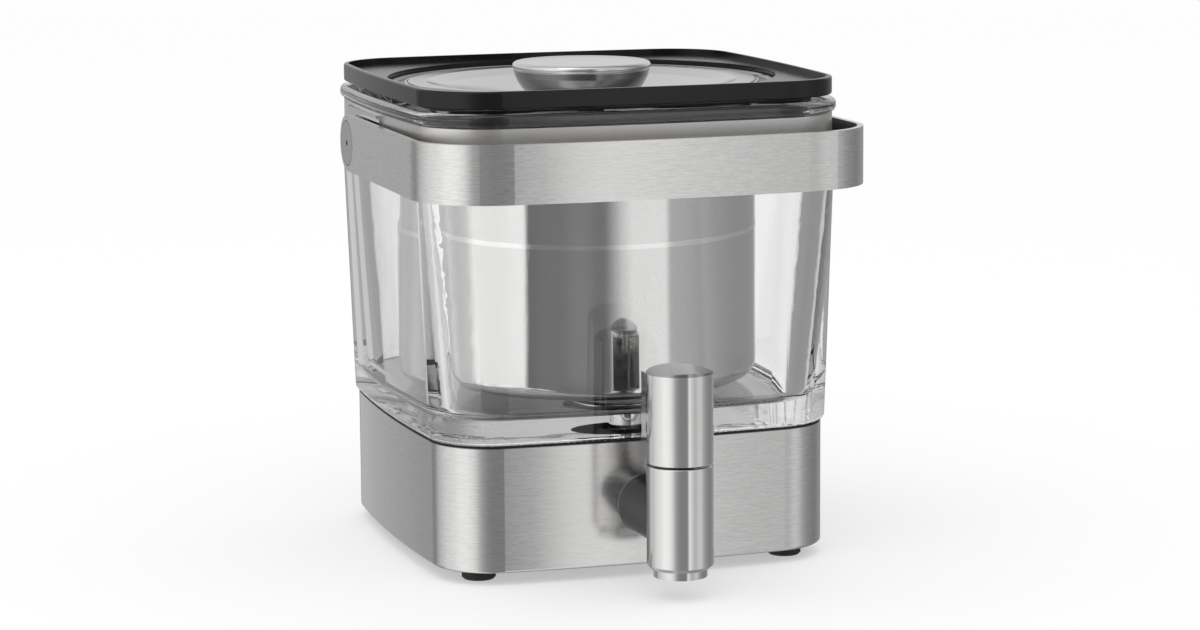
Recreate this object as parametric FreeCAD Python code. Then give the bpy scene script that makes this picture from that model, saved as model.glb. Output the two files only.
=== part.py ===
"""Cold brew coffee maker: square glass jar on a steel base, with tap, steeper, lids and a carry handle.

Millimetres. Z is up and 0 is the surface under the feet. The front, with the tap, faces -Y.
The sub-parts are drawn with the middle of the jar at X 0, Y 0, and written with the origin under
the middle of the whole object's box, tap included.
"""
import FreeCAD, Part
import os
from math import atan2, cos, pi, radians, sin, sqrt
from FreeCAD import Vector as V

# Body plan: every ring is a square with bowed sides and round corners
base_half, corner_r, side_bow = 86.5, 26.0, 5.0
foot_high, foot_r, foot_inset = 5.0, 7.0, 20.0
base_top = 56.5
sheet = 1.2
cushion_high, cushion_wide = 0.9, 5.0

# Jar
jar_half_low, jar_half_top, neck_half = 87.8, 91.1, 89.3
jar_floor, jar_shoulder, jar_rim = 66.0, 158.0, 191.5
well_half_low, well_half_neck, well_corner_r = 75.8, 85.0, 19.0
bead_half, bead_low = 92.0, 186.0
neck_corner_r = corner_r + 1 + neck_half - jar_half_low

# Collar and carry handle
collar_half, collar_low, collar_high = 90.5, 158.1, 185.5
band_low, band_high, band_thick, band_front = 157.7, 181.4, 2.5, 110.1
# Radius and angle of each bend of the band, from the middle of its front round to an arm
band_bends = ((820.0, radians(4.3)), (50.0, radians(15.7)), (31.0, radians(70)))
pivot_y, pivot_z = 30.0, 0.5 * (band_low + band_high)
bracket_front, bracket_rear, bracket_proud = -12.0, 42.0, 1.0
pin_r, cap_r, cap_deep = 4.0, 9.8, 1.0

# Lid frame
lid_half, lid_corner_r, lid_bow = 89.8, 29.5, 3.6
lid_low, lid_high, rim_wide, tray_deep = 193.0, 200.4, 2.0, 2.6
hole_r, ledge_r, ledge_z = 82.0, 76.5, 194.0
skirt_half, skirt_low, skirt_corner_r = 82.6, 184.0, 26.0
seal_half, lip_half = 83.2, 84.0

# Steeper and its lid
steeper_r, steeper_wall_thick, steeper_low = 72.5, 0.7, 70.7
flange_r, flange_z, lip_r, slot_r = 81.0, 194.2, 74.0, 78.0
level_band_z, level_band_high = 133.2, 2.0
cover_r, cover_z = 73.4, 195.3
knob_r, knob_foot_r, knob_top = 29.4, 22.6, 204.6
dish_deep, cover_thick = 5.4, 0.8

# Tap
tap_y, tap_r, tap_low, tap_split, tap_top = -125.8, 13.35, 12.4, 54.2, 91.0
split_gap = 1.0
shank_z, nozzle_r, nozzle_low = 30.0, 10.8, 9.1
tap_pivot_up = 10.0
seat_z, spring_turns, spring_pitch = 24.0, 7, 2.3
outlet_y, bore_r, window_r = -45.0, 4.0, 25.0
drain_flange_r, drain_gasket_r = 21.5, 23.5
slack = 0.05
to_box_middle = V(0, -0.5 * (tap_y - tap_r + bead_half), 0)


def ring_wire(half, r, bow, z):
    """Square outline with bowed sides and round corners, both tangent, at height z."""
    big = (half * half + bow * bow) / (2.0 * bow)
    off = big - half
    c = 0.5 * (-off + sqrt(2.0 * (big - r) ** 2 - off * off))
    turn = atan2(c, c + off)
    edges = []
    for quarter in range(4):
        side = quarter * pi / 2
        def at(x, y):
            return V(x * cos(side) - y * sin(side), x * sin(side) + y * cos(side), z)
        end = (-off + big * cos(turn), big * sin(turn))
        edges.append(Part.Arc(at(end[0], -end[1]), at(half, 0), at(*end)).toShape())
        diag = c + r / sqrt(2.0)
        edges.append(Part.Arc(at(*end), at(diag, diag), at(end[1], end[0])).toShape())
    return Part.Wire(edges)


def ring_block(half, r, bow, low, high, half_top=None):
    """Solid of the ring outline from low to high, drafted when half_top is given."""
    if half_top is None:
        face = Part.Face(ring_wire(half, r, bow, low))
        return face.extrude(V(0, 0, high - low))
    top = ring_wire(half_top, r + half_top - half, bow, high)
    return Part.makeLoft([ring_wire(half, r, bow, low), top], True, True)


def turned(points, x=0.0, y=0.0):
    """Solid turned about a vertical axis from (radius, height) points."""
    wire = Part.makePolygon([V(r, 0, z) for r, z in points + points[:1]])
    solid = Part.Face(wire).revolve(V(0, 0, 0), V(0, 0, 1), 360)
    solid.translate(V(x, y, 0))
    return solid


def disc(r, low, high, x=0.0, y=0.0):
    return Part.makeCylinder(r, high - low, V(x, y, low))


def tube(outer, inner, low, high, x=0.0, y=0.0):
    return disc(outer, low, high, x, y).cut(disc(inner, low - 1, high + 1, x, y))


def rod_x(r, x0, x1, y, z):
    return Part.makeCylinder(r, abs(x1 - x0), V(min(x0, x1), y, z), V(1, 0, 0))


def rod_y(r, y0, y1, z, x=0.0):
    return Part.makeCylinder(r, abs(y1 - y0), V(x, min(y0, y1), z), V(0, 1, 0))


def block(x0, x1, y0, y1, z0, z1):
    return Part.makeBox(x1 - x0, y1 - y0, z1 - z0, V(x0, y0, z0))


def edges_at(shape, z, tol=0.01):
    """Edges that lie at height z."""
    return [e for e in shape.Edges if abs(e.BoundBox.ZMin - z) < tol and abs(e.BoundBox.ZMax - z) < tol]


def save(name, shape):
    """Write one sub-part as STEP."""
    shape = shape.removeSplitter() if len(shape.Solids) == 1 else shape
    if not shape.isValid() or shape.Volume <= 0:
        raise RuntimeError(name + " is not a sound solid")
    shape.translate(to_box_middle)
    shape.exportStep(os.path.join("parts", name + ".step"))


# Base

def base():
    """Steel shell, the tray that carries the jar, bottom plate, screws and feet."""
    outer = ring_block(base_half, corner_r, side_bow, foot_high, base_top)
    outer = outer.makeFillet(1.2, edges_at(outer, foot_high))
    inner = ring_block(base_half - sheet, corner_r - sheet, side_bow, foot_high - 1, base_top - sheet)
    window = disc(window_r, base_top - 5, base_top + 1, 0, outlet_y)
    tap_hole = rod_y(9.0 + slack, -base_half - 5, -60, shank_z)
    save("base_shell", outer.cut(inner).cut(window).cut(tap_hole))

    tray_top = base_top - sheet
    tray = ring_block(base_half - 1.6, corner_r - 1.6, side_bow, tray_top - 12, tray_top)
    tray = tray.cut(ring_block(base_half - 4, corner_r - 4, side_bow, tray_top - 13, tray_top - 2.5))
    tray = tray.cut(disc(window_r, tray_top - 14, base_top + 1, 0, outlet_y))
    save("base_tray", tray.cut(block(-14, 14, -90, -70, 30, tray_top - 2.5)))

    post_low, post_high = foot_high + 3.5, tray_top - 2.5
    posts, screws = [], []
    post_at = base_half - 32
    for sx in (-1, 1):
        for sy in (-1, 1):
            x, y = sx * post_at, sy * post_at
            posts.append(tube(4.5, 1.6, post_low, post_high, x, y))
            head = tube(3.6, 1.2, foot_high, foot_high + 1, x, y)
            shank = disc(1.5, foot_high + 0.9, 22, x, y)
            screws.append(head.fuse(shank))
    save("screw_posts", Part.makeCompound(posts))
    plate = ring_block(base_half - 2.6, corner_r - 2.6, side_bow, foot_high + 1, post_low)
    for sx in (-1, 1):
        for sy in (-1, 1):
            plate = plate.cut(disc(1.5, 0, 12, sx * post_at, sy * post_at))
    save("base_plate", plate)
    save("base_screws", Part.makeCompound(screws))
    foot_at = base_half - foot_inset
    for name_y, sy in (("front", -1), ("rear", 1)):
        for name_x, sx in (("left", -1), ("right", 1)):
            foot = disc(foot_r, 0, foot_high + 1, sx * foot_at, sy * foot_at)
            foot = foot.makeChamfer(0.8, edges_at(foot, 0))
            save("foot_%s_%s" % (name_y, name_x), foot)
    cushion = ring_block(base_half - 0.6, corner_r, side_bow, base_top, base_top + cushion_high)
    inside = ring_block(base_half - cushion_wide, corner_r - cushion_wide + 0.6, side_bow,
                        base_top - 1, base_top + 3)
    save("jar_cushion", cushion.cut(inside))


# Jar

def jar():
    """Thick square glass jar with a heavy floor, a straight neck and a rounded rim bead."""
    low = base_top + cushion_high
    body = ring_block(jar_half_low, corner_r + 1, side_bow, low, jar_shoulder, jar_half_top)
    body = body.makeFillet(2.0, edges_at(body, low))
    neck = ring_block(neck_half, neck_corner_r, side_bow, jar_shoulder, jar_rim)
    bead = ring_block(bead_half, neck_corner_r + bead_half - neck_half, side_bow, bead_low, jar_rim)
    bead = bead.makeFillet(2.2, edges_at(bead, bead_low) + edges_at(bead, jar_rim))
    well = ring_block(well_half_low, well_corner_r, side_bow, jar_floor, jar_rim + 1, well_half_neck)
    well = well.makeFillet(5.0, edges_at(well, jar_floor))
    shape = body.fuse([neck, bead]).cut(well)
    save("glass_jar", shape.cut(disc(8.0, low - 1, jar_floor + 1, 0, outlet_y)))


def outlet():
    """Drain fitting clamped through the jar floor, and the pipe to the tap."""
    low = base_top + cushion_high
    seat = turned([(3.2, low - 9), (7.8, low - 9), (7.8, jar_floor + 0.8), (drain_flange_r, jar_floor + 0.8),
                   (drain_flange_r, jar_floor + 1.6), (drain_flange_r - 2, jar_floor + 2.4),
                   (3.2, jar_floor + 2.4)], 0, outlet_y)
    save("outlet_fitting", seat)
    save("outlet_gasket_top", tube(drain_gasket_r - 1, 7.8, jar_floor, jar_floor + 0.8, 0, outlet_y))
    save("outlet_gasket_bottom", tube(drain_gasket_r, 7.8, low - 2, low, 0, outlet_y))
    ring = Part.makePolygon([V(14 * cos(k * pi / 3), outlet_y + 14 * sin(k * pi / 3), low - 7)
                             for k in range(7)])
    nut = Part.Face(ring).extrude(V(0, 0, 5)).cut(disc(7.8, low - 8, low, 0, outlet_y))
    save("outlet_nut", nut)
    bend, top = 9.0, low - 9
    path = Part.Wire([
        Part.LineSegment(V(0, outlet_y, top), V(0, outlet_y, shank_z + bend)).toShape(),
        Part.Arc(V(0, outlet_y, shank_z + bend),
                 V(0, outlet_y - bend + bend * cos(pi / 4), shank_z + bend - bend * sin(pi / 4)),
                 V(0, outlet_y - bend, shank_z)).toShape(),
        Part.LineSegment(V(0, outlet_y - bend, shank_z), V(0, -66, shank_z)).toShape()])
    def pipe(r):
        section = Part.Wire(Part.makeCircle(r, V(0, outlet_y, top), V(0, 0, 1)))
        return path.makePipeShell([section], True, False)
    save("feed_pipe", pipe(6.5).cut(pipe(bore_r)))


def band_arcs(grow):
    """Arcs of one half of the handle's front, grown outwards, with the place where the arm starts."""
    x, y, heading, arcs = 0.0, -band_front, 0.0, []
    for r, sweep in band_bends:
        cx, cy = x - r * sin(heading), y + r * cos(heading)
        turns = (heading, heading + 0.5 * sweep, heading + sweep)
        arcs.append([V(cx + (r + grow) * sin(t), cy - (r + grow) * cos(t), band_low) for t in turns])
        heading += sweep
        x, y = cx + r * sin(heading), cy - r * cos(heading)
    return arcs, x + grow, y


def collar():
    """Steel collar round the neck, with the brackets, pins and washers that carry the handle."""
    band_side = band_arcs(0)[1]
    outer_r = neck_corner_r + collar_half - neck_half
    outer = ring_block(collar_half, outer_r, side_bow, collar_low, collar_high)
    neck = ring_block(neck_half + 0.02, neck_corner_r, side_bow, collar_low - 1, collar_high + 1)
    save("jar_collar", outer.cut(neck))
    foot, face, seat = collar_half - 1.0, collar_half + bracket_proud, band_side - band_thick - 0.3
    for name, s in (("left", -1), ("right", 1)):
        x0, x1 = sorted((s * foot, s * face))
        plate = block(x0, x1, bracket_front, bracket_rear, 161.5, 183.5)
        hook0, hook1 = sorted((s * foot, s * (face + 0.8)))
        hook = block(hook0, hook1, bracket_front + 2, bracket_rear - 2, 183.4, 184.8)
        save("pivot_bracket_" + name, plate.fuse(hook).cut(outer))
        pin_end = band_side - cap_deep - 0.1
        save("pivot_pin_" + name, rod_x(pin_r, s * face, s * pin_end, pivot_y, pivot_z))
        spacer = rod_x(8.5, s * face, s * seat, pivot_y, pivot_z)
        save("pivot_washer_" + name, spacer.cut(rod_x(pin_r, s * 80, s * 110, pivot_y, pivot_z)))


def handle():
    """One bent band of steel, bowed in front, with flush caps over the pivots."""
    def band(grow):
        arcs, half, arm_y = band_arcs(grow)
        edges = []
        for s in (-1, 1):
            for arc in arcs:
                edges.append(Part.Arc(*[V(s * p.x, p.y, p.z) for p in arc]).toShape())
            arm = V(s * half, arm_y, band_low), V(s * half, pivot_y, band_low)
            edges.append(Part.LineSegment(*arm).toShape())
        edges.append(Part.LineSegment(V(-half, pivot_y, band_low), V(half, pivot_y, band_low)).toShape())
        outline = Part.Wire(Part.__sortEdges__(edges))
        return Part.Face(outline).extrude(V(0, 0, band_high - band_low))
    band_side = band_arcs(0)[1]
    strip = band(0).cut(band(-band_thick))
    half_high = 0.5 * (band_high - band_low)
    for s in (-1, 1):
        x0, x1 = sorted((s * (band_side - band_thick), s * band_side))
        end = Part.makeCylinder(half_high, band_thick, V(x0, pivot_y, pivot_z), V(1, 0, 0))
        behind = block(x0, x1, pivot_y - 1, pivot_y + half_high + 1, band_low, band_high)
        strip = strip.fuse(end.common(behind))
    for s in (-1, 1):
        strip = strip.cut(rod_x(pin_r + slack, s * 90, s * 110, pivot_y, pivot_z))
        strip = strip.cut(rod_x(cap_r, s * (band_side - cap_deep), s * 110, pivot_y, pivot_z))
    save("carry_handle", strip)
    for name, s in (("left", -1), ("right", 1)):
        cap = rod_x(cap_r, s * (band_side - cap_deep), s * band_side, pivot_y, pivot_z)
        save("pivot_cap_" + name, cap.cut(rod_x(1.0, s * (band_side - 0.4), s * 110, pivot_y, pivot_z)))


# Lids and steeper

def lid():
    """Moulded frame that plugs the neck, with its soft seal."""
    frame = ring_block(lid_half, lid_corner_r, lid_bow, lid_low, lid_high)
    frame = frame.makeFillet(0.8, edges_at(frame, lid_low) + edges_at(frame, lid_high))
    tray = ring_block(lid_half - rim_wide, lid_corner_r - rim_wide, lid_bow,
                      lid_high - tray_deep, lid_high + 1)
    skirt = ring_block(skirt_half, skirt_corner_r, side_bow, skirt_low, lid_low)
    frame = frame.cut(tray).cut(disc(hole_r, ledge_z, lid_high + 1)).fuse(skirt)
    save("lid_frame", frame.cut(disc(ledge_r, skirt_low - 1, lid_high + 1)))
    seal_r, lip_r = skirt_corner_r + seal_half - skirt_half, skirt_corner_r + lip_half - skirt_half
    seal = ring_block(seal_half, seal_r, side_bow, skirt_low + 0.6, lid_low - 0.6)
    for low in (skirt_low + 1.2, skirt_low + 5.0):
        seal = seal.fuse(ring_block(lip_half, lip_r, side_bow, low, low + 1.2))
    save("lid_seal", seal.cut(skirt))


def steeper():
    """Fine mesh cup hung from a stepped flange, with a plain level band and a mesh bottom."""
    t = steeper_wall_thick
    inner, top = steeper_r - t, flange_z + 0.8
    flange = turned([
        (inner, flange_z - 6), (steeper_r, flange_z - 6), (steeper_r, flange_z), (flange_r, flange_z),
        (flange_r, top + 0.8), (flange_r - 0.8, top + 0.8), (flange_r - 0.8, top), (lip_r + 1.3, top),
        (lip_r + 1.0, top + 0.8), (lip_r, top + 0.8), (lip_r - 0.3, top), (inner, top)])
    for s in (-1, 1):
        x0, x1 = sorted((s * (slot_r - 1.1), s * (slot_r + 1.1)))
        flange = flange.cut(block(x0, x1, -3, 3, flange_z - 1, top + 1))
    save("steeper_flange", flange)
    round_r = 6.0
    mesh_low = steeper_low + round_r
    save("steeper_mesh_upper", tube(steeper_r, steeper_r - t, level_band_z + level_band_high, flange_z - 6))
    save("steeper_level_band", tube(steeper_r + 0.15, steeper_r - t, level_band_z,
                                    level_band_z + level_band_high))
    save("steeper_mesh_lower", tube(steeper_r, steeper_r - t, mesh_low, level_band_z))
    cup = disc(steeper_r, steeper_low, mesh_low)
    cup = cup.makeFillet(round_r - 0.5, edges_at(cup, steeper_low))
    hollow = disc(steeper_r - t, steeper_low + 1, mesh_low + 1)
    hollow = hollow.makeFillet(round_r - 1.2, edges_at(hollow, steeper_low + 1))
    save("steeper_bottom", cup.cut(hollow))


def cover():
    """Dished steel lid of the steeper, its seal and its wide knob."""
    z, dish = cover_z, cover_z - dish_deep
    save("steeper_lid", turned([
        (0, dish - cover_thick), (26, dish - cover_thick), (58, z - 2.2), (66, z), (cover_r, z),
        (cover_r, z + cover_thick), (65.6, z + cover_thick), (57.7, z - 1.4), (25.6, dish),
        (0, dish)]).cut(disc(2.6, z - 10, z + 5)))
    save("steeper_lid_seal", turned([
        (67.5, z - 1.4), (71.3, z - 1.4), (71.3, z), (67.5, z)]))
    low, top = dish + 0.1, knob_top
    groove, step = low + 7.8, low + 10.3
    curve = Part.Arc(V(knob_foot_r, 0, low), V(26.3, 0, low + 4.0), V(knob_r - 1.2, 0, groove)).toShape()
    corners = [V(knob_r - 1.2, 0, groove), V(knob_r - 1.8, 0, groove), V(knob_r - 1.8, 0, groove + 0.4),
               V(knob_r - 0.9, 0, groove + 0.4), V(knob_r - 0.6, 0, step), V(0, 0, step), V(0, 0, low),
               V(knob_foot_r, 0, low)]
    outline = Part.Wire([curve] + Part.makePolygon(corners).Edges)
    body = Part.Face(outline).revolve(V(0, 0, 0), V(0, 0, 1), 360)
    save("knob_body", body.cut(disc(2.5, low - 1, low + 5)))
    cap = Part.Face(Part.Wire([
        Part.LineSegment(V(0, 0, step), V(knob_r - 1.4, 0, step)).toShape(),
        Part.LineSegment(V(knob_r - 1.4, 0, step), V(knob_r - 1.4, 0, step + 0.5)).toShape(),
        Part.LineSegment(V(knob_r - 1.4, 0, step + 0.5), V(knob_r - 0.2, 0, step + 0.5)).toShape(),
        Part.Arc(V(knob_r - 0.2, 0, step + 0.5), V(knob_r, 0, step + 1.9),
                 V(knob_r - 1.8, 0, top - 0.8)).toShape(),
        Part.Arc(V(knob_r - 1.8, 0, top - 0.8), V(0.5 * knob_r, 0, top - 0.15), V(2, 0, top)).toShape(),
        Part.LineSegment(V(2, 0, top), V(0, 0, top)).toShape(),
        Part.LineSegment(V(0, 0, top), V(0, 0, step)).toShape()])).revolve(V(0, 0, 0), V(0, 0, 1), 360)
    save("knob_cap", cap)
    washer_low = dish - cover_thick - 1
    save("knob_washer", tube(9.0, 2.6, washer_low, washer_low + 1))
    save("knob_screw", disc(4.6, washer_low - 2, washer_low).fuse(disc(2.5, washer_low - 0.1, low + 4.9)))


# Tap

def tap():
    """Shank through the base, tap body, nozzle, sprung valve and the handle that tilts back."""
    wall = -base_half
    save("tap_shank", rod_y(7.0, -66, tap_y + 8, shank_z).fuse(rod_y(9.0, wall + sheet, wall - 0.1, shank_z))
         .cut(rod_y(bore_r, -60, tap_y - 0.5, shank_z)).cut(disc(7.6, 0, 60, 0, tap_y)))
    save("shank_gasket", rod_y(11.5, wall + sheet + 0.9, wall + sheet + 2.2, shank_z).cut(
        rod_y(7.0, -60, -130, shank_z)))
    ring = Part.makePolygon([V(13 * cos(k * pi / 3), wall + sheet + 2.2, shank_z + 13 * sin(k * pi / 3))
                             for k in range(7)])
    save("shank_nut", Part.Face(ring).extrude(V(0, 5.5, 0)).cut(rod_y(7.0, -60, -130, shank_z)))
    flare = Part.makeCone(13.0, 11.6, abs(tap_y - wall) - 5.5, V(0, wall - 0.1, shank_z), V(0, -1, 0))
    flare = flare.makeFillet(0.8, [e for e in flare.Edges if e.BoundBox.YMax > wall - 0.2
                                   and e.BoundBox.YLength < 0.01])
    outer = disc(tap_r, 0, 80, 0, tap_y)
    save("tap_collar", flare.cut(outer).cut(rod_y(7.0, -60, -130, shank_z)).cut(
        rod_y(9.0, -60, wall - 0.1, shank_z)))

    lower = disc(tap_r, tap_low, tap_split, 0, tap_y)
    lower = lower.makeChamfer(1.6, edges_at(lower, tap_low))
    lower = lower.makeFillet(0.5, edges_at(lower, tap_split))
    lower = lower.cut(disc(7.5, tap_low - 1, tap_split - 8, 0, tap_y))
    lower = lower.cut(disc(2.6, tap_low, tap_split + 1, 0, tap_y))
    save("tap_body", lower.cut(rod_y(7.0, -60, tap_y + 8, shank_z)).cut(
        rod_y(bore_r, -60, tap_y, shank_z)))
    save("tap_nozzle", turned([(7.2, nozzle_low), (nozzle_r, nozzle_low), (nozzle_r, tap_low),
                               (7.4, tap_low), (7.4, seat_z), (5.0, seat_z), (5.0, seat_z - 2),
                               (6.2, seat_z - 3), (6.2, 15)], 0, tap_y))

    z0 = tap_split + split_gap
    pivot = z0 + tap_pivot_up
    grip = disc(tap_r, z0, tap_top + 6, 0, tap_y)
    crown = Part.makeCylinder(60, 40, V(0, tap_y - 20, tap_top - 60 + 1.4), V(0, 1, 0))
    grip = grip.common(crown.fuse(block(-20, 20, tap_y - 20, tap_y + 20, 0, tap_top - 5)))
    heel = block(-12.0, 12.0, tap_y, tap_y + 13.0, z0, tap_top - 0.8)
    heel = heel.makeFillet(1.2, [e for e in heel.Edges if e.BoundBox.YMin > tap_y + 12.9])
    grip = grip.fuse(heel)
    sweep = tap_pivot_up
    corner = block(-20, 20, tap_y + tap_r - sweep, tap_y + 20, z0 - 1, pivot)
    corner = corner.cut(rod_x(sweep, -20, 20, tap_y + tap_r - sweep, pivot))
    grip = grip.cut(corner)
    slot = block(-3.4, 3.4, tap_y - 8, tap_y + 9, z0 - 1, pivot + 6)
    grip = grip.cut(slot).cut(rod_x(1.55, -tap_r - 1, tap_r + 1, tap_y, pivot))
    save("tap_handle", grip)
    save("tap_pivot_pin", rod_x(1.5, -tap_r + 1.2, tap_r - 1.2, tap_y, pivot))
    lug = block(-3.0, 3.0, tap_y - 4.5, tap_y + 3.5, tap_split - 0.5, pivot + 3.5)
    lug = lug.cut(rod_x(1.5, -5, 5, tap_y, pivot)).cut(disc(2.6, 40, pivot - 2.2, 0, tap_y))
    save("tap_lug", lug.cut(disc(tap_r + 1, 50, tap_split, 0, tap_y)))
    valve_z = seat_z + 5.1
    stem = disc(2.2, valve_z - 1, pivot - 4.2, 0, tap_y)
    save("valve_stem", stem.fuse(disc(5.4, valve_z - 3, valve_z, 0, tap_y)))
    save("valve_seal", disc(6.6, seat_z + 0.1, seat_z + 2.1, 0, tap_y))
    turns = []
    for k in range(spring_turns):
        turns.append(Part.makeTorus(4.4, 0.5, V(0, tap_y, valve_z + 0.8 + k * spring_pitch)))
    save("stem_spring", Part.makeCompound(turns))


os.makedirs("parts", exist_ok=True)
for make in (base, jar, outlet, collar, handle, lid, steeper, cover, tap):
    make()
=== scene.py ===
from math import cos, pi, radians, sin

import bpy
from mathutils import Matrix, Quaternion, Vector


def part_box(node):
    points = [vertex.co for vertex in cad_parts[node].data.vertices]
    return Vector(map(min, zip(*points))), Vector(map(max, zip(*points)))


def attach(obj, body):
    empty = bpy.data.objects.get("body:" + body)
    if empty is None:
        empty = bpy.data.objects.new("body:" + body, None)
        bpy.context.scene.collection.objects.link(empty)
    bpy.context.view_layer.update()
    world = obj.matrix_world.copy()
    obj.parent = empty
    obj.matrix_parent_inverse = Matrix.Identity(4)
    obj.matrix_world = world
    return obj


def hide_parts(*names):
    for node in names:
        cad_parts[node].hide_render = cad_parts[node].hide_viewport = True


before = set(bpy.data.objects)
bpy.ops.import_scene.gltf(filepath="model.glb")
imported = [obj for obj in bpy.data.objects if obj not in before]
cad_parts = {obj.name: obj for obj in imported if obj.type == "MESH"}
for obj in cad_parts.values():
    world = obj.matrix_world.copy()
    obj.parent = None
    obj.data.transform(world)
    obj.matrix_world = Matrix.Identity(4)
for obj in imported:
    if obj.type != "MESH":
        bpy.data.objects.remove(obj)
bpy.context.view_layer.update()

# Feet. Four round feet of black rubber, pressed into the bottom plate. The rubber is matt, with a
# faint moulding grain and slightly greyer patches.


class Value:
    """One number in a node tree, with Python's arithmetic."""

    def __init__(self, finish, socket):
        self.finish, self.socket = finish, socket

    def math(self, operation, *others, clamp=False):
        inputs = dict(enumerate((self,) + others))
        return self.finish.value("ShaderNodeMath", {"operation": operation, "use_clamp": clamp}, inputs)

    def reflected(self, operation, first):
        return self.finish.value("ShaderNodeMath", {"operation": operation}, {0: first, 1: self})

    def __add__(self, other):
        return self.math("ADD", other)

    def __sub__(self, other):
        return self.math("SUBTRACT", other)

    def __mul__(self, other):
        return self.math("MULTIPLY", other)

    def __truediv__(self, other):
        return self.math("DIVIDE", other)

    def __rsub__(self, other):
        return self.reflected("SUBTRACT", other)

    def clamped(self):
        return self.math("ADD", 0.0, clamp=True)

    __radd__ = __add__
    __rmul__ = __mul__


class Finish:
    """The node tree of one material or of the world."""

    def __init__(self, owner):
        owner.use_nodes = True
        self.owner, self.tree = owner, owner.node_tree
        self.tree.nodes.clear()

    def add(self, kind, settings=None, inputs=None):
        node = self.tree.nodes.new(kind)
        for key, setting in (settings or {}).items():
            if key == "stops":
                ramp = node.color_ramp.elements
                while len(ramp) < len(setting):
                    ramp.new(0.5)
                for element, (place, tone) in zip(ramp, setting):
                    element.position = place
                for element, (place, tone) in zip(ramp, setting):
                    element.color = (tone, tone, tone, 1.0)
            else:
                setattr(node, key, setting)
        for key, given in (inputs or {}).items():
            if isinstance(given, Value):
                self.tree.links.new(given.socket, node.inputs[key])
            else:
                node.inputs[key].default_value = given
        return node

    def value(self, kind, settings=None, inputs=None, output=0):
        return Value(self, self.add(kind, settings, inputs).outputs[output])

    def place(self):
        """The point of the surface in the object's own frame, as three values in metres."""
        point = self.value("ShaderNodeTexCoord", output="Object")
        split = self.add("ShaderNodeSeparateXYZ", inputs={0: point})
        return [Value(self, split.outputs[k]) for k in range(3)]

    def noise(self, x, y, z, detail=2.0):
        """Noise from 0 to 1 with its own scale along each axis, in cycles per metre."""
        point = self.value("ShaderNodeTexCoord", output="Object")
        scaled = self.value("ShaderNodeMapping", None, {"Vector": point, "Scale": (x, y, z)})
        return self.value("ShaderNodeTexNoise", None, {"Vector": scaled, "Scale": 1.0, "Detail": detail})

    def bump(self, height, metres, strength=1.0):
        """Bent normal of a relief, with its height from 0 to 1 in steps of so many metres."""
        return self.value("ShaderNodeBump", None,
                          {"Height": height, "Distance": metres, "Strength": strength})

    def tint(self, amount, dark, light):
        """Colour between dark and light, which can be links, as amount goes from 0 to 1."""
        ends = [end if isinstance(end, Value) else end + (1.0,) for end in (dark, light)]
        return self.value("ShaderNodeMix", {"data_type": "RGBA", "clamp_factor": True},
                          {0: amount, 6: ends[0], 7: ends[1]}, output=2)

    def surface(self, inputs):
        shader = self.value("ShaderNodeBsdfPrincipled", None, inputs)
        self.add("ShaderNodeOutputMaterial", None, {0: shader})
        return self.owner


def new_finish(name):
    return Finish(bpy.data.materials.new(name))


def dress(names, material):
    """Give these nodes of the frame one finish all over."""
    for name in names:
        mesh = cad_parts[name].data
        mesh.materials.clear()
        mesh.materials.append(material)


def soft_black(name, tone, rough):
    finish = new_finish(name)
    grain = finish.noise(900, 900, 900, 4.0)
    cloud = finish.noise(60, 60, 60)
    return finish.surface({
        "Base Color": finish.tint(cloud, (tone * 0.6,) * 3, (tone * 1.6,) * 3),
        "Roughness": rough + (grain - 0.5) * 0.2,
        "Specular IOR Level": 0.35,
        "Normal": finish.bump(grain, 0.00004)})


dress(["foot_front_left", "foot_front_right", "foot_rear_left", "foot_rear_right"],
      soft_black("foot_rubber", 0.018, 0.62))

# Bottom plate, jar tray and screw posts. Injection-moulded dark grey plastic with a fine spark-eroded
# texture. The washers of the handle and the pipe from the drain to the tap are of the same plastic.
def moulded_grey():
    finish = new_finish("moulded_grey")
    grain = finish.noise(1500, 1500, 1500, 3.0)
    flow = finish.noise(25, 25, 25)
    return finish.surface({
        "Base Color": finish.tint(flow, (0.045, 0.045, 0.047), (0.07, 0.07, 0.072)),
        "Roughness": 0.48 + grain * 0.16,
        "Normal": finish.bump(grain, 0.00005)})


dress(["base_plate", "base_tray", "screw_posts", "pivot_washer_left", "pivot_washer_right", "feed_pipe"],
      moulded_grey())

# Base screws. Four stainless self-tapping screws with pan heads and a cross recess, driven from below
# into the posts of the tray.
def polished_steel(name, tone, rough):
    finish = new_finish(name)
    marks = finish.noise(30, 30, 3000, 1.0)
    smear = finish.noise(40, 40, 40)
    return finish.surface({
        "Base Color": finish.tint(smear, (tone * 0.94,) * 3, (tone * 1.04, tone * 1.03, tone * 1.02)),
        "Metallic": 1.0,
        "Roughness": rough + marks * 0.06,
        "Normal": finish.bump(marks, 0.000002)})


bright_steel = polished_steel("bright_steel", 0.68, 0.06)


def nothing_selected():
    if bpy.context.object and bpy.context.object.mode != "OBJECT":
        bpy.ops.object.mode_set(mode="OBJECT")
    bpy.ops.object.select_all(action="DESELECT")


def settle(piece):
    """Bring a finished piece to the origin, with its place in its mesh, and smooth it."""
    nothing_selected()
    piece.select_set(True)
    bpy.context.view_layer.objects.active = piece
    bpy.ops.object.transform_apply(location=True, rotation=True, scale=True)
    bpy.ops.object.shade_smooth_by_angle(angle=radians(32))


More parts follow.
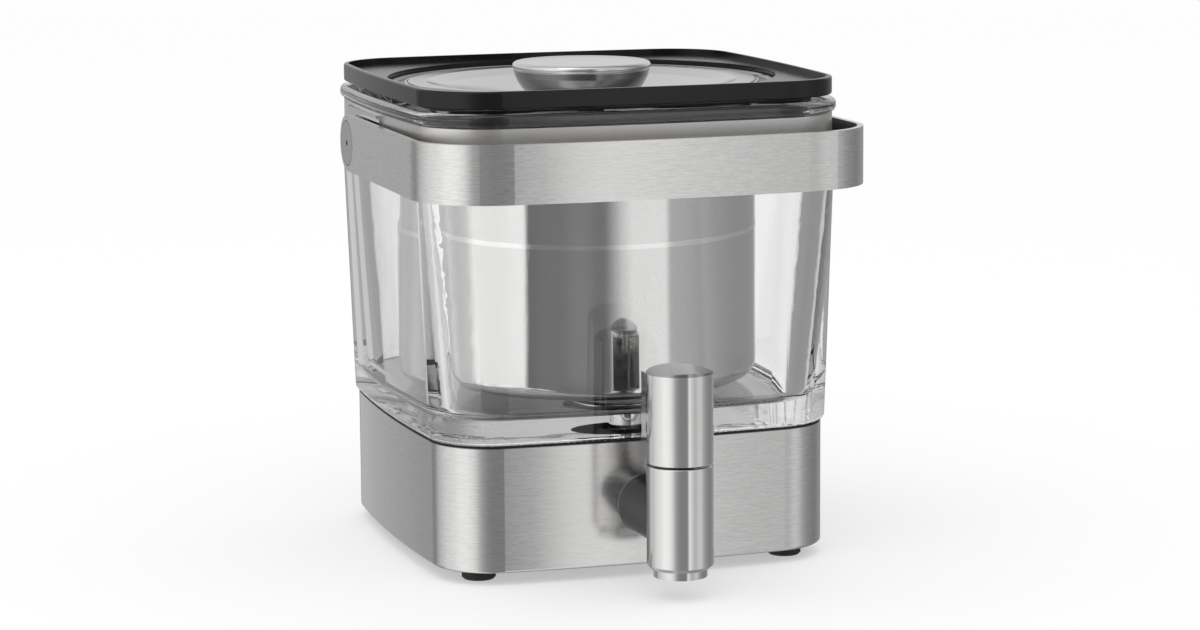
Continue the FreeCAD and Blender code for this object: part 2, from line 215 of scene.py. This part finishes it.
def pick(piece, wanted):
    """Go into edit mode with only the faces selected whose middle and normal are wanted."""
    bpy.ops.object.mode_set(mode="EDIT")
    bpy.ops.mesh.select_mode(type="FACE")
    bpy.ops.mesh.select_all(action="DESELECT")
    bpy.ops.object.mode_set(mode="OBJECT")
    for face in piece.data.polygons:
        face.select = wanted(face.center, face.normal)
    bpy.ops.object.mode_set(mode="EDIT")


screws_low, screws_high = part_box("base_screws")
head_r, head_high, thread_r = 0.0036, 0.0010, 0.0015
recess_long, recess_wide, recess_deep = 0.0042, 0.0009, 0.0007
first_screw = Vector((screws_low.x + head_r, screws_low.y + head_r, screws_low.z))
nothing_selected()
bpy.ops.mesh.primitive_cylinder_add(vertices=40, radius=head_r, depth=head_high,
                                    location=first_screw + Vector((0, 0, head_high / 2)))
screw = bpy.context.object
pick(screw, lambda middle, normal: normal.z > 0.9)
bpy.ops.mesh.inset(thickness=head_r - thread_r)
bpy.ops.mesh.extrude_region_move(
    TRANSFORM_OT_translate={"value": (0, 0, screws_high.z - screws_low.z - head_high)})
pick(screw, lambda middle, normal: normal.z < -0.9)
bpy.ops.mesh.bevel(offset=0.0004, segments=3, affect="EDGES")
bpy.ops.object.mode_set(mode="OBJECT")
for quarter in (0, 1):
    nothing_selected()
    bpy.ops.mesh.primitive_cube_add(size=1.0, location=first_screw, rotation=(0, 0, quarter * pi / 2),
                                    scale=(recess_long, recess_wide, 2 * recess_deep))
    driver_bit = bpy.context.object
    nothing_selected()
    bpy.context.view_layer.objects.active = screw
    cut = screw.modifiers.new("recess", "BOOLEAN")
    cut.operation, cut.object, cut.solver = "DIFFERENCE", driver_bit, "EXACT"
    bpy.ops.object.modifier_apply(modifier="recess")
    bpy.data.objects.remove(driver_bit)
between_x = screws_high.x - screws_low.x - 2 * head_r
between_y = screws_high.y - screws_low.y - 2 * head_r
screws = [screw]
for step_x, step_y in ((1, 0), (0, 1), (1, 1)):
    nothing_selected()
    screw.select_set(True)
    bpy.context.view_layer.objects.active = screw
    bpy.ops.object.duplicate(linked=False)
    bpy.context.object.location.x += step_x * between_x
    bpy.context.object.location.y += step_y * between_y
    screws.append(bpy.context.object)
for corner, piece in enumerate(screws):
    piece.name = "base_screw_%d" % (corner + 1)
    settle(piece)
    piece.data.materials.append(bright_steel)
    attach(piece, "root")
    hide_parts("base_screws")

# Base shell. A box of stainless sheet, deep-drawn and brushed level all the way round after pressing.
# The strokes are short and very fine, with a few longer ones. The top, under the jar, has painted shade.
def brushed_steel(name, tone, rough, stroke=1.0, warmth=0.992, painted_shade_above=None, painted_shade_share=0.3):
    """Level strokes of a strength, on steel that can have painted shade above a height in metres."""
    finish = new_finish(name)
    fine = finish.noise(330, 330, 3400, 2.0)
    long = finish.noise(120, 120, 1700, 1.0)
    cloud = finish.noise(9, 9, 9)
    grain = (fine * 2.0 + long) / 3.0
    spread, contrast, edge_wide = 0.09 * stroke, 1.6, 0.0002
    dark, light = [tuple(tone * share * warmth ** k for k in range(3))
                   for share in (1.0 - spread, 1.0 + spread)]
    colour = finish.tint((grain - 0.5) * contrast + 0.5, dark, light)
    # Painted shade: above the given height the colour goes darker.
    if painted_shade_above:
        painted_shade = ((finish.place()[2] - painted_shade_above) / edge_wide).clamped()
        colour = finish.tint(painted_shade, colour, (tone * painted_shade_share,) * 3)
    return finish.surface({
        "Base Color": colour,
        "Metallic": 1.0,
        "Roughness": rough + (grain - 0.5) * 0.07 * stroke + (cloud - 0.5) * 0.04,
        "Normal": finish.bump(grain, 0.000002 * stroke)})


edge_high = 0.0004
# The top of the shell under the jar gets painted shade.
under_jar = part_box("base_shell")[1].z - edge_high
dress(["base_shell"], brushed_steel("base_steel", 0.68, 0.15, 1.6, painted_shade_above=under_jar))

# Cushion and drain. A die-cut rubber ring lies between base and jar and shows as a thin dark line. The
# drain fitting is clamped through the glass floor between two gaskets by a nut.
dress(["jar_cushion", "outlet_gasket_top", "outlet_gasket_bottom"], soft_black("gasket_rubber", 0.012, 0.5))
dress(["outlet_fitting", "outlet_nut"], bright_steel)

# Jar. Thick pressed soda glass, fire-polished, with slow waves in its walls from the mould and rows of
# small studs pressed into its underside. Its shadow is left clear, because thick glass passes most of
# the light that falls on it, and so is light that has turned back inside it many times.
def jar_glass():
    finish = new_finish("jar_glass")
    underside_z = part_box("glass_jar")[0].z
    waves = finish.noise(34, 34, 11, 1.0)
    x, y, z = finish.place()
    stud_pitch, stud_high, stud_zone, wave_high, most_turns = 0.0026, 0.00035, 0.0002, 0.00013, 4.5
    studs = (x * (2 * pi / stud_pitch)).math("COSINE") * (y * (2 * pi / stud_pitch)).math("COSINE")
    underside = 1.0 - ((z - underside_z - stud_zone / 2) / stud_zone).clamped()
    height = waves * wave_high + studs.clamped() * underside * stud_high
    shader = finish.value("ShaderNodeBsdfPrincipled", None, {
        "Base Color": (0.985, 0.989, 0.986, 1.0), "Roughness": 0.0, "IOR": 1.5,
        "Specular IOR Level": 0.3, "Transmission Weight": 1.0, "Normal": finish.bump(height, 1.0)})
    clear = finish.value("ShaderNodeBsdfTransparent", None, {"Color": (0.93, 0.937, 0.932, 1.0)})
    path = finish.add("ShaderNodeLightPath")
    turned_back = Value(finish, path.outputs["Ray Depth"]).math("GREATER_THAN", most_turns)
    passed = turned_back.math("MAXIMUM", Value(finish, path.outputs["Is Shadow Ray"]))
    both = finish.value("ShaderNodeMixShader", None, {0: passed, 1: shader, 2: clear})
    finish.add("ShaderNodeOutputMaterial", None, {0: both})
    return finish.owner


dress(["glass_jar"], jar_glass())

# Collar, brackets and pins. A strip of the same brushed sheet hides the neck of the jar, and polished
# pressed brackets on its sides carry the turned pins of the handle.
dress(["jar_collar"], brushed_steel("collar_steel", 0.74, 0.36, 0.8, 0.985))
dress(["pivot_bracket_left", "pivot_bracket_right", "pivot_pin_left", "pivot_pin_right"], bright_steel)

# Carry handle. One band of thick stainless strip, bent at the two front corners and brushed along its
# length. Flush turned caps cover the pins, each with a dark joint round it and a painted shade spot for a
# centre dimple.
jar_low, jar_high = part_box("glass_jar")
jar_mid = (jar_low + jar_high) / 2
dress(["carry_handle"], brushed_steel("handle_steel", 0.72, 0.18, 1.9))


def turned_about_pivot():
    """Fine rings about the axis of the handle's pins, on satin steel."""
    finish = new_finish("pivot_cap_steel")
    cap_low, cap_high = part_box("pivot_cap_left")
    middle = (cap_low + cap_high) / 2
    across, up = [spot - centre for spot, centre in zip(finish.place()[1:], middle[1:])]
    radius = (across * across + up * up).math("SQRT")
    ring_scale, off_lattice = 2600.0, 0.5
    spot = finish.value("ShaderNodeCombineXYZ", None,
                        {0: radius * ring_scale, 1: off_lattice, 2: off_lattice})
    rings = finish.value("ShaderNodeTexNoise", None, {"Vector": spot, "Scale": 1.0, "Detail": 1.0})
    rim_r, rim_wide, rim_soft = (cap_high.z - cap_low.z) / 2, 0.0006, 0.0003
    dimple_r, dimple_soft = 0.0011, 0.0004
    rim = ((radius - (rim_r - rim_wide)) / rim_soft).clamped()
    # The dimple is a dark spot painted as its shade; it has no relief. The rim is a real dark joint.
    dimple = 1.0 - ((radius - dimple_r) / dimple_soft).clamped()
    plain = finish.tint(rings, (0.50, 0.495, 0.49), (0.60, 0.59, 0.58))
    return finish.surface({
        "Base Color": finish.tint(rim.math("MAXIMUM", dimple), plain, (0.09, 0.088, 0.086)),
        "Metallic": 1.0,
        "Roughness": 0.24 + (rings - 0.5) * 0.14,
        "Normal": finish.bump(rings - rim, 0.00001)})


dress(["pivot_cap_left", "pivot_cap_right"], turned_about_pivot())

# Steeper. A cup of etched stainless mesh with a plain level band, hung from a pressed steel flange.
# The holes stand in rows round the wall, and in a square grid over the bottom, and are painted darker as
# the shade seen through them.
def etched_mesh(name, flat):
    finish = new_finish(name)
    x, y, z = finish.place()
    pitch, hole_from, hole_slope = 0.0012, 0.25, 3.0
    if flat:
        along, across = x / pitch, (y - jar_mid.y) / pitch
    else:
        wall_low, wall_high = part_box("steeper_mesh_upper")
        wall_r = (wall_high.x - wall_low.x) / 2
        along = (y - jar_mid.y).math("ARCTAN2", x) * (wall_r / pitch)
        across = z / pitch
    rows = (along * (2 * pi)).math("COSINE") * (across * (2 * pi)).math("COSINE")
    hole = ((rows - hole_from) * hole_slope).clamped()
    streak = finish.noise(10, 10, 700, 1.0)
    return finish.surface({
        # Holes are painted darker: painted shade of the inside of the cup.
        "Base Color": finish.tint(hole * 0.5, (0.76, 0.755, 0.75), (0.3, 0.3, 0.3)),
        "Metallic": 1.0,
        "Roughness": 0.012 + hole * 0.05 + streak * 0.02,
        "Normal": finish.bump(1.0 - hole, 0.000004, 0.3)})


dress(["steeper_mesh_upper", "steeper_mesh_lower"], etched_mesh("wall_mesh", False))
dress(["steeper_bottom"], etched_mesh("bottom_mesh", True))
dress(["steeper_level_band"], polished_steel("band_steel", 0.88, 0.1))


# Lid frame and its seal. Black plastic, moulded with a satin skin and a grain that is hardly seen, with
# a soft, duller seal pressed over its skirt.
def lid_black():
    finish = new_finish("lid_black")
    grain = finish.noise(1100, 1100, 1100, 3.0)
    cloud = finish.noise(18, 18, 18)
    return finish.surface({
        "Base Color": finish.tint(cloud, (0.003, 0.003, 0.0033), (0.006, 0.006, 0.006)),
        "Roughness": 0.2 + (grain - 0.5) * 0.1,
        "Specular IOR Level": 0.34,
        "Normal": finish.bump(grain, 0.000002)})


dress(["lid_frame"], lid_black())
dress(["lid_seal"], soft_black("seal_rubber", 0.005, 0.42))

# Flange, steeper lid and knob. Spun stainless steel with fine rings from the lathe about the middle of
# the jar. The knob is a satin cap over a darker polished body, screwed on from below.
def spun_steel(name, tone, rough, depth=0.000006):
    finish = new_finish(name)
    x, y, z = finish.place()
    off = y - jar_mid.y
    radius = (x * x + off * off).math("SQRT")
    ring_scale, drift = 2400.0, 0.6
    spot = finish.value("ShaderNodeCombineXYZ", None,
                        {0: radius * ring_scale, 1: off.math("ARCTAN2", x) * drift, 2: z * ring_scale})
    rings = finish.value("ShaderNodeTexNoise", None, {"Vector": spot, "Scale": 1.0, "Detail": 2.0})
    return finish.surface({
        "Base Color": finish.tint(rings, (tone * 0.92,) * 3, (tone * 1.06, tone * 1.055, tone * 1.045)),
        "Metallic": 1.0,
        "Roughness": rough + (rings - 0.5) * 0.14,
        "Normal": finish.bump(rings, depth)})


dress(["steeper_flange", "steeper_lid"], spun_steel("flange_steel", 0.6, 0.16, 0.00001))
dress(["knob_cap"], spun_steel("knob_cap_steel", 0.70, 0.2))
dress(["knob_body"], spun_steel("knob_body_steel", 0.25, 0.08, 0.000002))
dress(["knob_screw"], bright_steel)
dress(["knob_washer", "steeper_lid_seal"], soft_black("lid_rubber", 0.012, 0.5))

# Tap. Solid stainless body and lever, turned and satin-polished with level marks, on a dark collar
# that closes the gap to the base. The crown of the lever has painted shade, darker than the rest. The
# nozzle screws in from below.
crown_deep = 0.0016
# The crown above this height gets painted shade.
crown_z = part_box("tap_handle")[1].z - crown_deep
dress(["tap_body"], brushed_steel("tap_steel", 0.74, 0.14, 0.5))
dress(["tap_handle"], brushed_steel("lever_steel", 0.74, 0.14, 0.5, painted_shade_above=crown_z, painted_shade_share=0.5))
dress(["tap_collar"], polished_steel("tap_collar_steel", 0.2, 0.16))
dress(["tap_shank", "shank_nut", "tap_nozzle", "tap_lug", "tap_pivot_pin", "valve_stem"], bright_steel)
dress(["shank_gasket", "valve_seal"], soft_black("valve_rubber", 0.012, 0.5))

# Valve spring. One length of round stainless wire, coiled round the stem, which it presses down with
# the valve's seal on its seat. A small circle is screwed up into the coil, and its ends are closed.
spring_low, spring_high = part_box("stem_spring")
wire_r, spring_turns, coil_sides = 0.0005, 6.5, 28
coil_r = (spring_high.x - spring_low.x) / 2 - wire_r
coil_middle = (spring_low + spring_high) / 2
coil_start = spring_low.z + wire_r
coil_rise = spring_high.z - spring_low.z - 2 * wire_r
nothing_selected()
bpy.ops.mesh.primitive_circle_add(vertices=12, radius=wire_r, fill_type="NOTHING",
                                  location=(coil_middle.x, coil_middle.y, coil_start))
spring = bpy.context.object
spring.name = "valve_spring"
bpy.ops.object.mode_set(mode="EDIT")
bpy.ops.mesh.select_all(action="SELECT")
bpy.ops.transform.rotate(value=pi / 2, orient_axis="X",
                         center_override=(coil_middle.x, coil_middle.y, coil_start))
bpy.ops.transform.translate(value=(coil_r, 0, 0))
bpy.ops.object.mode_set(mode="OBJECT")
coil = spring.modifiers.new("coil", "SCREW")
coil.angle, coil.screw_offset, coil.iterations = 2 * pi * spring_turns, coil_rise, 1
coil.steps = coil.render_steps = int(coil_sides * spring_turns)
coil.use_merge_vertices = False
bpy.ops.object.modifier_apply(modifier="coil")
bpy.ops.object.mode_set(mode="EDIT")
bpy.ops.mesh.select_mode(type="EDGE")
bpy.ops.mesh.select_all(action="DESELECT")
bpy.ops.mesh.select_non_manifold()
bpy.ops.mesh.edge_face_add()
bpy.ops.mesh.select_all(action="SELECT")
bpy.ops.mesh.normals_make_consistent(inside=False)
bpy.ops.object.mode_set(mode="OBJECT")
settle(spring)
spring.data.materials.append(bright_steel)
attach(spring, "tap_valve")
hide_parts("stem_spring")

# Floor. A plain white sheet under the object, which keeps a soft contact shadow. Metal and glass see
# the white sky through it, so that their reflections run unbroken down to the feet.
bpy.ops.mesh.primitive_plane_add(size=12.0, location=(0, 0, 0))
floor = bpy.context.object
floor.name = "floor"
floor_finish = new_finish("floor_white")
floor_path = floor_finish.add("ShaderNodeLightPath")
floor_sheet = floor_finish.value("ShaderNodeBsdfDiffuse", None, {"Color": (0.97, 0.97, 0.97, 1.0)})
floor_glow = floor_finish.value("ShaderNodeEmission", None, {"Color": (1.0,) * 4, "Strength": 1.0})
glow_share = 0.45
floor_lit = floor_finish.value("ShaderNodeMixShader", None, {0: glow_share, 1: floor_sheet, 2: floor_glow})
floor_open = floor_finish.value("ShaderNodeBsdfTransparent")
floor_hidden = Value(floor_finish, floor_path.outputs["Is Glossy Ray"]).math(
    "MAXIMUM", Value(floor_finish, floor_path.outputs["Is Transmission Ray"]))
floor_seen = floor_finish.value("ShaderNodeMixShader", None, {0: floor_hidden, 1: floor_lit, 2: floor_open})
floor_finish.add("ShaderNodeOutputMaterial", None, {0: floor_seen})
floor.data.materials.append(floor_finish.owner)

# Studio. An even white sky and one large soft lamp light the object. Metal sees white and grey panels
# round it and a white ceiling, as in a photographer's tent. Metal behind glass has panels of its own,
# and glass alone has dark flags at both sides, which draw its edges.
studio = Finish(bpy.context.scene.world or bpy.data.worlds.new("studio"))
bpy.context.scene.world = studio.owner


def turn(degrees):
    """Place on a ramp of a direction, in degrees to the right of the front."""
    return (degrees + 180.0) / 360.0


direction = studio.value("ShaderNodeTexCoord", output="Generated")
split = studio.add("ShaderNodeSeparateXYZ", inputs={0: direction})
bearing = Value(studio, split.outputs[0]).math("ARCTAN2", Value(studio, split.outputs[1]) * -1.0)
around = bearing / (2 * pi) + 0.5
panels = [(-180, 0.66), (-171, 0.5), (-160, 0.42), (-152, 0.34), (-144, 0.27), (-136, 0.42), (-129, 0.6),
          (-107, 0.88), (-88, 1.0), (-76, 1.14), (-60, 1.12), (-47, 0.92), (-36, 0.5), (-26, 0.33),
          (-16, 0.27), (6, 0.26), (8, 0.32), (10, 0.58), (11, 0.85), (12, 1.04), (14, 1.04), (17, 0.92),
          (22, 0.76), (29, 0.63), (36, 0.56), (48, 0.74), (58, 0.72), (70, 0.46), (82, 0.34), (106, 0.25),
          (130, 0.34)]
through = [(-180, 0.62), (-150, 0.62), (-140, 0.8), (-125, 0.6), (-112, 0.7), (-103, 1.25), (-57, 1.25),
           (-54, 0.115), (-31, 0.105), (-26, 0.13), (-17, 0.13), (-11, 0.105), (-5, 0.12), (-2, 0.24),
           (3, 0.5), (7, 0.75), (14, 1.0), (38, 1.04), (40, 0.72), (42, 0.52), (63, 0.43), (77, 0.34),
           (92, 0.29), (110, 0.26), (139, 0.3), (150, 0.62)]
behind = [(-180, 1.0), (-118, 1.0), (-100, 0.5), (-84, 0.5), (-60, 1.0), (60, 1.0), (84, 0.5), (100, 0.5),
          (118, 1.0), (180, 1.0)]
mirror, glassy, clear = [
    studio.value("ShaderNodeValToRGB", {"stops": [(turn(a), t) for a, t in stops]}, {0: around})
    for stops in (panels, through, behind)]
ceiling_tone, ceiling_low, ceiling_high = 0.75, sin(radians(-1)), sin(radians(6))
upward = ((Value(studio, split.outputs[2]) - ceiling_low) / (ceiling_high - ceiling_low)).clamped()
rear_low, rear_high = 0.2, 0.7
upward = upward * ((Value(studio, split.outputs[1]) - rear_low) / (rear_high - rear_low)).clamped()
mirror = mirror * (1.0 - upward) + upward * ceiling_tone
path = studio.add("ShaderNodeLightPath")
is_glossy = Value(studio, path.outputs["Is Glossy Ray"])
is_through = Value(studio, path.outputs["Is Transmission Ray"])
bounced = Value(studio, path.outputs["Glossy Depth"]).math("MINIMUM", 1.0)
glass_light = glassy * bounced + clear * (1.0 - bounced)
strength = is_through * glass_light + (1.0 - is_through) * (is_glossy * mirror + (1.0 - is_glossy))
backdrop = studio.value("ShaderNodeBackground", None, {"Color": (1.0, 1.0, 1.0, 1.0), "Strength": strength})
studio.add("ShaderNodeOutputWorld", None, {0: backdrop})

lamp_place, lamp_aim = Vector((-0.35, -0.5, 1.3)), Vector((0, 0, 0.1))
bpy.ops.object.light_add(type="AREA", location=lamp_place)
lamp = bpy.context.object
lamp.data.size, lamp.data.energy = 0.9, 2.0
lamp.rotation_euler = (lamp_aim - lamp_place).to_track_quat("-Z", "Y").to_euler()

# Camera. It stands to the left of the front, a little above the lid, with a long lens and no shift.
# The line of sight passes just right of the axis of the jar, near half height.
picture_width_px = 1200
focal_px = 3416.7
camera_yaw, camera_pitch, camera_roll = radians(17.73), radians(9.08), radians(0.40)
camera_distance = 1.4623
right_of_axis, aim_height = 0.0071, 0.0948
aim = Vector((right_of_axis * cos(camera_yaw), jar_mid.y - right_of_axis * sin(camera_yaw), aim_height))
sight = Vector((cos(camera_pitch) * sin(camera_yaw), cos(camera_pitch) * cos(camera_yaw),
                -sin(camera_pitch)))
level = sight.to_track_quat("-Z", "Y")
rolled = level @ Quaternion((0, 0, 1), -camera_roll)
bpy.ops.object.camera_add(location=aim - camera_distance * sight, rotation=rolled.to_euler())
camera = bpy.context.object
camera.data.sensor_width = 36.0
camera.data.lens = focal_px / picture_width_px * camera.data.sensor_width
camera.data.clip_start, camera.data.clip_end = 0.01, 50.0
bpy.context.scene.camera = camera
bpy.context.scene.view_settings.view_transform = "Standard"
